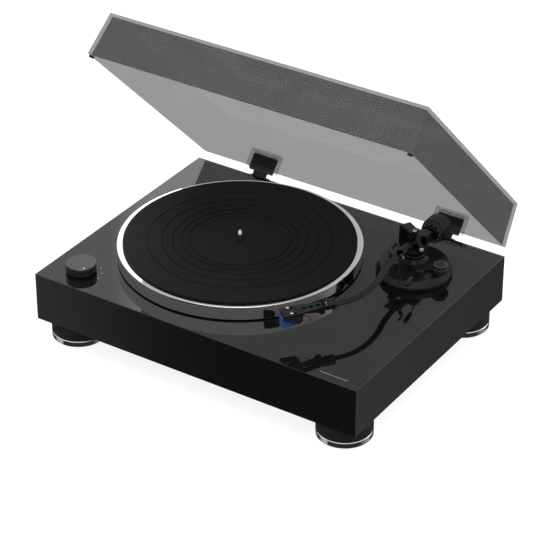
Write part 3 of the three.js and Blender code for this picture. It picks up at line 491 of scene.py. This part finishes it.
# ---------- repeated parts ----------
class Recipe(Tree):
    """A geometry tree with named inputs."""

    KINDS = {
        "Count": "NodeSocketInt",
        "Material": "NodeSocketMaterial",
    }

    def __init__(self, name, *inputs):
        super().__init__(bpy.data.node_groups.new(name, "GeometryNodeTree"))
        sockets = self.tree.interface
        sockets.new_socket("Geometry", in_out="OUTPUT", socket_type="NodeSocketGeometry")
        self.identifiers = {}
        for title in inputs:
            kind = self.KINDS.get(title, "NodeSocketFloat")
            made = sockets.new_socket(title, in_out="INPUT", socket_type=kind)
            self.identifiers[title] = made.identifier
        self.given = self.node("NodeGroupInput").outputs

    def value(self, title):
        return Reading(self, self.given[title])

    def finish(self, geometry):
        realized = self.node("GeometryNodeRealizeInstances", inputs={0: geometry}).outputs[0]
        painted = self.node(
            "GeometryNodeSetMaterial", inputs={0: realized, 2: self.given["Material"]}
        ).outputs[0]
        self.node("NodeGroupOutput", inputs={0: painted})

    def make(self, name, **values):
        """Runs the recipe and returns its mesh, in millimetres."""
        holder = bpy.data.objects.new(name, bpy.data.meshes.new(name))
        bpy.context.scene.collection.objects.link(holder)
        modifier = holder.modifiers.new(name, "NODES")
        modifier.node_group = self.tree
        for title, value in values.items():
            modifier[self.identifiers[title]] = value
        return seen(holder)


def ring_recipe():
    """Bars set around a circle: Length runs outward, Width around and Height up."""
    recipe = Recipe(
        "ring_of_bars",
        "Count",
        "Radius",
        "Start",
        "Step",
        "Length",
        "Width",
        "Height",
        "Lean",
        "Material",
    )
    value = recipe.value
    turn = value("Start") + recipe.number("GeometryNodeInputIndex") * value("Step")
    line = recipe.node("GeometryNodeMeshLine", inputs={"Count": value("Count")})
    around = {0: value("Radius") * turn.cosine(), 1: value("Radius") * turn.sine()}
    place = recipe.node("ShaderNodeCombineXYZ", inputs=around).outputs[0]
    points = recipe.node(
        "GeometryNodeSetPosition", inputs={"Geometry": line.outputs[0], "Position": place}
    ).outputs[0]
    size = recipe.node(
        "ShaderNodeCombineXYZ",
        inputs={0: value("Length"), 1: value("Width"), 2: value("Height")},
    ).outputs[0]
    bar = recipe.node("GeometryNodeMeshCube", inputs={"Size": size}).outputs[0]
    facing = recipe.node(
        "ShaderNodeCombineXYZ", inputs={1: value("Lean"), 2: turn}
    ).outputs[0]
    placed = recipe.node(
        "GeometryNodeInstanceOnPoints",
        inputs={"Points": points, "Instance": bar, "Rotation": facing},
    ).outputs[0]
    recipe.finish(placed)
    return recipe


ring_of_bars = ring_recipe()


def bars(name, body, slot, material, place, count, radius, size, **more):
    """A ring or arc of bars as one piece; turn stands the ring up."""
    spread = more.get("spread", 360.0)
    step = spread / (count if spread == 360.0 else count - 1)
    mesh = ring_of_bars.make(
        name,
        Count=count,
        Radius=radius,
        Start=math.radians(more.get("start", 0.0)),
        Step=math.radians(step),
        Length=size[0],
        Width=size[1],
        Height=size[2],
        Lean=math.radians(more.get("lean", 0.0)),
        Material=material,
    )
    mesh.transform(at_deck(place) @ more.get("turn", Matrix()))
    return piece(name, mesh, body, slot)


# ---------- camera, floor and light ----------
def set_camera():
    azimuth, elevation, roll = (math.radians(a) for a in (33.111, 31.620, 0.0677))
    ahead = Vector((
        -math.sin(azimuth) * math.cos(elevation),
        math.cos(azimuth) * math.cos(elevation),
        -math.sin(elevation),
    ))
    data = bpy.data.cameras.new("view_camera")
    data.lens = 152.72
    data.sensor_width = 36.0
    data.shift_x = 0.0002
    data.shift_y = -0.0257
    data.clip_end = 60.0
    camera = bpy.data.objects.new("view_camera", data)
    camera.location = DECK + Vector((1336.88, -2031.17, 1496.31)) * MM
    camera.rotation_mode = "QUATERNION"
    level = ahead.to_track_quat("-Z", "Y")
    camera.rotation_quaternion = level @ Quaternion((0.0, 0.0, 1.0), roll)
    bpy.context.scene.collection.objects.link(camera)
    bpy.context.scene.camera = camera


def set_sky():
    """Even white above the horizon; dim below it, brighter toward the front left."""
    world = bpy.data.worlds.new("studio")
    world.use_nodes = True
    bpy.context.scene.world = world
    sky = Tree(world.node_tree)
    toward = sky.node("ShaderNodeTexCoord").outputs["Generated"]
    axes = sky.node("ShaderNodeSeparateXYZ", inputs={0: toward}).outputs
    x, y, z = (Reading(sky, axes[i]) for i in range(3))
    flat = (x * x + y * y).join("POWER", x * x + y * y, 0.5)

    def between(value, low, high):
        settings = {"interpolation_type": "SMOOTHSTEP"}
        inputs = {"Value": value, "From Min": low, "From Max": high}
        return sky.number("ShaderNodeMapRange", settings, inputs)

    above = between(z, -0.12, 0.05)
    left = between(0.0 - x / flat, 0.57, 0.685) * between(0.0 - y / flat, 0.0, 0.5)
    behind = between(y / flat, 0.0, 0.7) * between(y / flat, 0.97, 0.80)
    below = 0.03 + left * 0.5 + behind * 0.28
    rear = between(0.0 - x / flat, 0.616, 0.596) * between(y / flat, 0.3, 0.7)
    overhead = between(z, 0.93, 0.97)
    level = below + above * (1.0 + rear * 1.1 - below) + overhead * 5.0
    background = world.node_tree.nodes["Background"]
    color = sky.node("ShaderNodeCombineXYZ", inputs={0: level, 1: level, 2: level})
    sky.feed(background.inputs["Color"], color.outputs[0])
    background.inputs["Strength"].default_value = 1.0


def set_floor():
    shape = bmesh.new()
    bmesh.ops.create_grid(shape, x_segments=1, y_segments=1, size=9.0)
    mesh = bpy.data.meshes.new("studio_floor")
    shape.to_mesh(mesh)
    shape.free()
    finish = Finish("studio_floor", (0.2, 0.2, 0.2), 0.9, emission_strength=0.86)
    finish.set("Emission Color", (1.0, 1.0, 1.0, 1.0))
    mesh.materials.append(finish.material)
    floor = bpy.data.objects.new("studio_floor", mesh)
    floor.visible_glossy = False
    bpy.context.scene.collection.objects.link(floor)


def set_lamp(name, place, size, power):
    data = bpy.data.lights.new(name, "AREA")
    data.size = size
    data.energy = power
    lamp = bpy.data.objects.new(name, data)
    lamp.location = place
    lamp.visible_glossy = False
    aim = Vector((0.0, 0.0, 0.08)) - lamp.location
    lamp.rotation_mode = "QUATERNION"
    lamp.rotation_quaternion = aim.to_track_quat("-Z", "Y")
    bpy.context.scene.collection.objects.link(lamp)


set_camera()
set_sky()
set_floor()
set_lamp("key_softbox", (-1.6, -1.1, 1.9), 0.9, 12.0)
set_lamp("side_softbox", (1.9, -0.2, 1.3), 0.6, 5.0)
bpy.context.scene.view_settings.view_transform = "Standard"


# ---------- plinth and feet ----------
def make_plinth():
    base = as_mesh(block((-225, -171.8, -62.9), (225, 171.8, 0), 0.4), lacquer)
    tools = [
        as_mesh(block((-211, -157.8, -70), (211, 157.8, -15)), lacquer),
        as_mesh(block((-80, 150, -51), (40, 190, -17)), lacquer),
    ]
    motor = (PLATTER_AT[0] - 75.42, 96.53, 0)
    holes = (
        (12.3, PLATTER_AT),
        (10.0, motor),
        (3.6, KNOB_AT),
        (14.3, ARM_BASE_AT),
    )
    for radius, place in holes:
        profile = [(0, -20), (radius, -20), (radius, 2), (0, 2)]
        tools.append(turned("hole", profile, lacquer, place, 48))
    mesh = carved("plinth_body", base, tools, lacquer)
    piece("plinth_body", mesh, "deck", "gloss_black", "plinth")


def make_foot(corner):
    low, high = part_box("foot_body_" + corner)
    middle = (low + high) / 2
    place = ((middle.x - DECK.x) / MM, (middle.y - DECK.y) / MM, (low.z - DECK.z) / MM)
    skirt = 30.7
    body = rounded([
        (0, 0), (skirt - 2, 0), (skirt - 2, 1.2), (skirt, 1.2), (skirt, 9.4),
        (33.5, 9.4), (33.5, 15.2), (32.6, 15.6), (32.6, 16.4), (33.5, 16.8),
        (33.5, 21.6), (30, 25), (30, 28), (4, 28), (4, 37.3), (0, 37.3),
    ], 0.6)
    mesh = turned("foot_" + corner, body, black_rubber, place)
    piece("foot_" + corner, mesh, "foot_" + corner, "black_rubber", "foot_body_" + corner)
    trim = rounded([
        (31.0, 1.1), (32.6, 1.1), (33.5, 2.0), (33.5, 8.2), (32.9, 9.1), (31.0, 9.1),
    ], 0.4)
    mesh = turned("foot_ring_" + corner, trim, chrome, place, 128)
    piece("foot_ring_" + corner, mesh, "foot_" + corner, "bright_trim", "foot_trim_" + corner)


def make_prints():
    """Three generic marks beside the knob and a thin rule at the front right."""
    marks = ((-167.3, -117.7), (-159.3, -126.3), (-155.5, -138.4))
    for i, (x, y) in enumerate(marks):
        corners = [(0, 0.02), (1.0, 0.02), (1.0, 0.08), (0, 0.08)]
        mesh = turned(f"speed_mark_{i}", corners, grey_print, (x, y, 0), 24)
        piece(f"speed_mark_{i}", mesh, "deck", "gloss_black")
    rule = as_mesh(block((170, -160.0, 0.02), (207, -159.3, 0.08)), grey_print)
    piece("deck_rule", rule, "deck", "gloss_black")


make_plinth()
for corner in FEET:
    make_foot(corner)
make_prints()


# ---------- platter, mat and spindle ----------
def make_platter():
    corners = rounded([
        (3.9, 18.8), (3.9, 7.8), (14, 7.8), (14, 13.8), (104, 13.8), (104, 2.8),
        (108, 2.8), (108, 13.8), (138.8, 13.8), (138.8, 1.8), (148.8, 1.8),
        (148.8, 18.8),
    ], 0.5)
    mesh = turned("platter_casting", corners, polished_rim, PLATTER_AT, 256)
    piece("platter_casting", mesh, "platter_body", "platter_metal", "platter")

    top = 22.2
    pitch = 2.2
    wide_groove = (0.9, 0.75)
    fine_groove = (0.225, 0.4)
    profile = [(4.2, 19.1), (141.0, 19.1), (141.6, 19.7), (141.6, top - 0.7), (141.0, top)]
    wide = (112.0, 94.0, 82.0, 71.0, 62.0)
    radius = 138.5
    while radius > 56.0:
        near = any(abs(w - radius) < pitch / 2 for w in wide)
        depth, half = wide_groove if near else fine_groove
        profile += [
            (radius + half, top),
            (radius + half * 0.6, top - depth),
            (radius - half * 0.6, top - depth),
            (radius - half, top),
        ]
        radius -= pitch
    profile += [(53.0, top), (52.6, top - 0.5), (4.6, top - 0.5), (4.2, top - 0.9)]
    mesh = turned("ribbed_mat", profile, mat_rubber, PLATTER_AT, 224)
    piece("ribbed_mat", mesh, "platter_body", "mat_rubber", "platter_mat")

    tip = top + 12.6
    corners = [
        (0, -36), (3.6, -34), (3.6, 2.6), (12, 2.6), (12, 7.5), (3.6, 7.5),
        (3.6, tip - 6.4), (3.5, tip - 5.6), (2.6, tip - 2.4), (1.5, tip - 0.9),
        (0.8, tip - 0.25), (0, tip),
    ]
    mesh = turned("centre_spindle", corners, bright_steel, PLATTER_AT, 64)
    piece("centre_spindle", mesh, "platter_body", "steel", "spindle")


def make_knob():
    skirt = rounded([
        (0, -23), (3, -23), (3, 1), (17.6, 1), (17.6, 2.4), (18.7, 2.8),
        (18.7, 12.3), (17.9, 13), (0, 13),
    ], 0.35)
    mesh = turned("knob_body_turned", skirt, gloss_black, KNOB_AT, 128)
    mesh.materials.append(knob_face)
    top = DECK.z + 12.9 * MM
    for polygon in mesh.polygons:
        if polygon.center.z > top - 0.05 * MM and polygon.normal.z > 0.9:
            polygon.material_index = 1
    piece("knob_turned", mesh, "knob_body", "dark_plastic", "speed_knob")
    mark = [(0, 12.9), (1.1, 12.9), (1.1, 13.05), (0, 13.05)]
    place = (KNOB_AT[0] + 11, KNOB_AT[1] - 9, 0)
    mesh = turned("knob_mark", mark, white_print, place, 24)
    piece("knob_mark", mesh, "knob_body", "dark_plastic")


make_platter()
make_knob()


# ---------- cover and hinges ----------
eased("lid", smoked_acrylic, 0.75, acrylic_edge, name="dust_cover")
for side in ("left", "right"):
    eased("hinge_pocket_" + side, clear_moulding, 0.6, acrylic_edge)
    eased("hinge_leaf_" + side, gloss_black, 0.5)
    eased("hinge_socket_" + side, satin_black, 0.5)
    eased("lid_bumper_" + side, black_rubber, 0.3)


# ---------- arm base and bearing ----------
def make_height_ring():
    corners = rounded([
        (37.4, 0.6), (45.4, 0.6), (45.4, 4.3), (42.0, 12.0), (37.4, 12.0),
    ], 0.5)
    mesh = turned("height_ring_turned", corners, anodised, ARM_BASE_AT, 160)
    piece("height_ring_turned", mesh, "ring_body", "black_metal", "height_ring")
    x, y, _ = ARM_BASE_AT
    grip = {"body": "ring_body", "slot": "black_metal", "material": anodised}
    ribs = 150
    bars(
        "height_ring_grip",
        place=(x, y, 2.5),
        count=ribs,
        radius=45.4,
        size=(1.0, 1.0, 3.4),
        **grip,
    )
    bars(
        "height_ring_flutes",
        place=(x, y, 8.2),
        count=ribs,
        radius=43.7,
        size=(0.8, 0.9, 7.6),
        lean=-23.8,
        **grip,
    )


def make_skate_dial():
    corners = rounded([
        (0, 0), (10.7, 0), (10.7, 4), (9.0, 4.6), (8.9, 7.6), (8.2, 8.3), (0, 8.3),
    ], 0.3)
    mesh = turned("skate_dial_turned", corners, satin_black, SKATE_AT, 96)
    piece("skate_dial_turned", mesh, "skate_body", "dark_plastic", "anti_skate_dial")
    x, y, z = SKATE_AT
    bars(
        "skate_dial_ticks",
        "skate_body",
        "dark_plastic",
        grey_print,
        (x, y, z + 8.32),
        28,
        7.3,
        (1.5, 0.42, 0.12),
    )
    bars(
        "skate_dial_grip",
        "skate_body",
        "dark_plastic",
        satin_black,
        (x, y, z + 2.1),
        48,
        10.6,
        (0.5, 0.6, 3.4),
    )


make_height_ring()
make_skate_dial()
for node, material, width in (
    ("arm_base", anodised, 0.3),
    ("bearing_turret", anodised_gloss, 0.35),
    ("top_bearing_screw", gold_plate, 0.2),
    ("arm_rest", satin_black, 0.3),
    ("rest_latch", gloss_black, 0.25),
    ("cue_lever", anodised_gloss, 0.2),
    ("cue_bar", satin_black, 0.3),
    ("gimbal_ring", anodised_gloss, 0.3),
    ("pivot_screw_right", gold_plate, 0.2),
    ("pivot_screw_left", gold_plate, 0.2),
    ("pivot_block", anodised_gloss, 0.3),
    ("arm_tube", anodised_gloss, 0.0),
    ("headshell", anodised_gloss, 0.2),
    ("finger_lift", anodised_gloss, 0.0),
    ("cartridge", satin_black, 0.3),
    ("stylus", stylus_blue, 0.3),
    ("cartridge_screw_left", gold_plate, 0.15),
    ("cartridge_screw_right", gold_plate, 0.15),
    ("jack_panel", satin_black, 0.25),
    ("ground_nut", gold_plate, 0.3),
    ("power_inlet", satin_black, 0.3),
):
    eased(node, material, width)


# ---------- weights, collar and head details ----------
STAND_REAR = Matrix.Rotation(-math.pi / 2, 4, "X")


def make_weight():
    body = rounded([
        (7.9, 37.7), (14.6, 37.7), (15.8, 38.9), (15.8, 44.0), (15.3, 44.4),
        (15.3, 45.0), (15.8, 45.4), (15.8, 55.4), (14.6, 56.7), (7.9, 56.7),
    ], 0.4)
    mesh = turned("counterweight_turned", body, anodised, WEIGHT_AT, 128, "Y")
    piece("counterweight_turned", mesh, "weight_body", "black_metal", "counterweight")
    dial = rounded([
        (7.9, 33.8), (13.6, 33.8), (14.4, 34.6), (14.4, 37.4), (7.9, 37.4),
    ], 0.3)
    mesh = turned("weight_dial_turned", dial, satin_black, WEIGHT_AT, 128, "Y")
    piece("weight_dial_turned", mesh, "dial_body", "dark_plastic", "weight_dial")
    bush = rounded([(4.7, 32.8), (7.6, 32.8), (7.6, 52.7), (4.7, 52.7)], 0.4)
    mesh = turned("weight_bush_turned", bush, dark_steel, WEIGHT_AT, 64, "Y")
    piece("weight_bush_turned", mesh, "bush_body", "black_metal", "weight_bush")
    x, y, z = WEIGHT_AT
    face = (x, y + 33.76, z)
    for name, count, radius, length in (
        ("weight_dial_ticks", 10, 11.6, 3.2),
        ("weight_dial_minor_ticks", 30, 12.4, 1.5),
    ):
        bars(
            name,
            "dial_body",
            "dark_plastic",
            white_print if count == 10 else grey_print,
            face,
            count,
            radius,
            (length, 0.45, 0.1),
            turn=STAND_REAR,
        )
    bars(
        "weight_dial_grip",
        "dial_body",
        "dark_plastic",
        satin_black,
        (x, y + 36.0, z),
        72,
        14.3,
        (0.5, 0.6, 2.2),
        turn=STAND_REAR,
    )


def make_collar():
    corners = rounded([
        (4.6, 1), (6.4, 1), (6.4, 5), (5.9, 5.4), (5.9, 6.6), (6.4, 7),
        (6.4, 12.5), (4.6, 12.5),
    ], 0.3)
    turn = Matrix.Rotation(math.radians(-HEAD_TURN), 4, "Z")
    mesh = turned("collar_turned", corners, anodised_gloss, (0, 0, 0), 96, "Y")
    mesh.transform(at_deck(HEAD_AT) @ turn @ at_deck((0, 0, 0)).inverted())
    piece("collar_turned", mesh, "collar_body", "black_metal", "lock_collar")
    washer = rounded([(4.2, 0.62), (5.3, 0.62), (5.3, 0.95), (4.2, 0.95)], 0.05)
    mesh = turned("collar_washer", washer, gold_plate, (0, 0, 0), 64, "Y")
    mesh.transform(at_deck(HEAD_AT) @ turn @ at_deck((0, 0, 0)).inverted())
    piece("collar_washer", mesh, "arm_body", "gold_metal")


make_weight()
make_collar()
for color, paint in LEADS.items():
    insulation = moulded("lead_" + color + "_insulation", paint, 0.4, 0.3, 0.01)
    eased("lead_" + color, insulation, 0.0)


# ---------- hidden working parts keep their shape ----------
WORKING = {
    "bottom_cover": satin_black,
    "main_board": board_green,
    "bearing_housing": gold_plate,
    "drive_belt": black_rubber,
    "motor_body": dark_steel,
    "motor_pulley": gold_plate,
    "selector_switch": satin_black,
}
for node, material in WORKING.items():
    for slot in frame["nodes"][node].material_slots:
        slot.material = material
